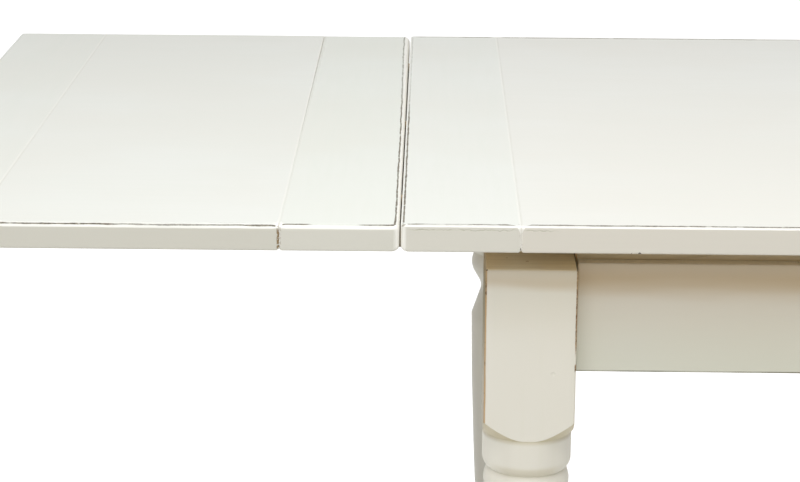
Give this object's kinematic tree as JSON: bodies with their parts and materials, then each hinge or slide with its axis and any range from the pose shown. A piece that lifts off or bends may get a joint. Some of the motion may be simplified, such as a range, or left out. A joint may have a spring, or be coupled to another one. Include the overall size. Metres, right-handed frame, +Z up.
{
  "type": "extending dining table",
  "caption": "Painted farmhouse dining table on turned legs, its main top held above an apron frame, with a plug-in breadboard leaf at each end that slides on wooden runners.",
  "frame": {"origin": "centre of the table's footprint on the floor", "axes": "+X along the table's length, +Y away from the side in the picture, +Z up"},
  "size_m": [2.8026, 0.95, 0.77],
  "materials": {
    "painted_top": "cream paint, satin, rubbed through along the arrises",
    "painted_frame": "cream paint, matt, rubbed through along the arrises",
    "bare_wood": "planed pine, waxed",
    "dowel_wood": "turned beech, bare",
    "zinc_steel": "zinc plated",
    "glide_nylon": "moulded nylon"
  },
  "bodies": {
    "table": {"leg_front_left": "painted_frame", "leg_front_right": "painted_frame", "leg_back_left": "painted_frame", "leg_back_right": "painted_frame", "apron_front": "painted_frame", "apron_back": "painted_frame", "apron_left": "painted_frame", "apron_right": "painted_frame", "main_panel": "painted_top", "main_breadboard_left": "painted_top", "main_breadboard_right": "painted_top", "corner_block_front_left": "bare_wood", "corner_block_front_right": "bare_wood", "corner_block_back_left": "bare_wood", "corner_block_back_right": "bare_wood", "cross_rail_left": "bare_wood", "cross_rail_right": "bare_wood", "centre_batten_left": "bare_wood", "centre_batten_right": "bare_wood", "end_spacer_left": "bare_wood", "end_spacer_right": "bare_wood", "top_bearers_front": "bare_wood", "top_bearers_back": "bare_wood", "runner_guide_front_left": "bare_wood", "runner_guide_front_right": "bare_wood", "runner_guide_back_left": "bare_wood", "runner_guide_back_right": "bare_wood", "leg_bolts": "zinc_steel", "leg_washers": "zinc_steel", "leg_nuts": "zinc_steel", "corner_block_screws": "zinc_steel", "batten_top_screws": "zinc_steel", "batten_frame_screws": "zinc_steel", "guide_screws": "zinc_steel", "spacer_screws": "zinc_steel", "foot_glides": "glide_nylon"},
    "leaf_left": {"leaf_panel_left": "painted_top", "leaf_inner_breadboard_left": "painted_top", "leaf_outer_breadboard_left": "painted_top", "runner_front_left": "bare_wood", "runner_back_left": "bare_wood", "stop_tie_left": "bare_wood", "leaf_tie_left": "bare_wood", "joint_strips_left": "bare_wood", "leaf_dowels_left": "dowel_wood", "leaf_screws_left": "zinc_steel"},
    "leaf_right": {"leaf_panel_right": "painted_top", "leaf_inner_breadboard_right": "painted_top", "leaf_outer_breadboard_right": "painted_top", "runner_front_right": "bare_wood", "runner_back_right": "bare_wood", "stop_tie_right": "bare_wood", "leaf_tie_right": "bare_wood", "joint_strips_right": "bare_wood", "leaf_dowels_right": "dowel_wood", "leaf_screws_right": "zinc_steel"}
  },
  "joints": [
    {"name": "leaf_left_slide", "type": "slide", "parent": "table", "child": "leaf_left", "axis": [-1, 0, 0], "range_m": [0, 0.428]},
    {"name": "leaf_right_slide", "type": "slide", "parent": "table", "child": "leaf_right", "axis": [1, 0, 0], "range_m": [0, 0.428]}
  ]
}
